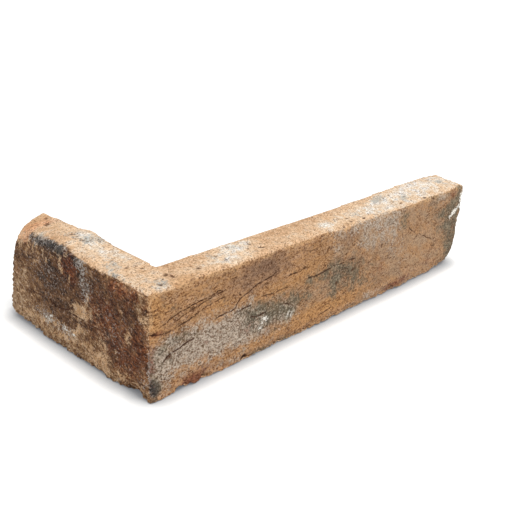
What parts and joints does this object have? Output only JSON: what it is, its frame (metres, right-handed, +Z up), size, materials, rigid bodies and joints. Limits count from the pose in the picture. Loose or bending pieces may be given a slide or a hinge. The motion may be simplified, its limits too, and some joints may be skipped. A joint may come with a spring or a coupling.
{
  "type": "corner brick slip",
  "caption": "L-shaped corner slip sawn from an old handmade brick, for facing the outside corner of a wall in brick; worn outer faces, flat sawn backs.",
  "frame": {"origin": "bottom centre of the bounding box, on the bed it stands on", "axes": "+X runs from the outer corner along the long stretcher leg, +Y runs from the outer corner's side along the short header leg, +Z up from bed to bed"},
  "size_m": [0.24, 0.117, 0.054],
  "materials": {
    "fired_clay": "unglazed fired clay: sandy orange-tan with dark fired patches, pale lime and dust on the worn faces, warm orange-brown where sawn"
  },
  "bodies": {
    "root": {"corner_slip": "fired_clay"}
  },
  "joints": []
}
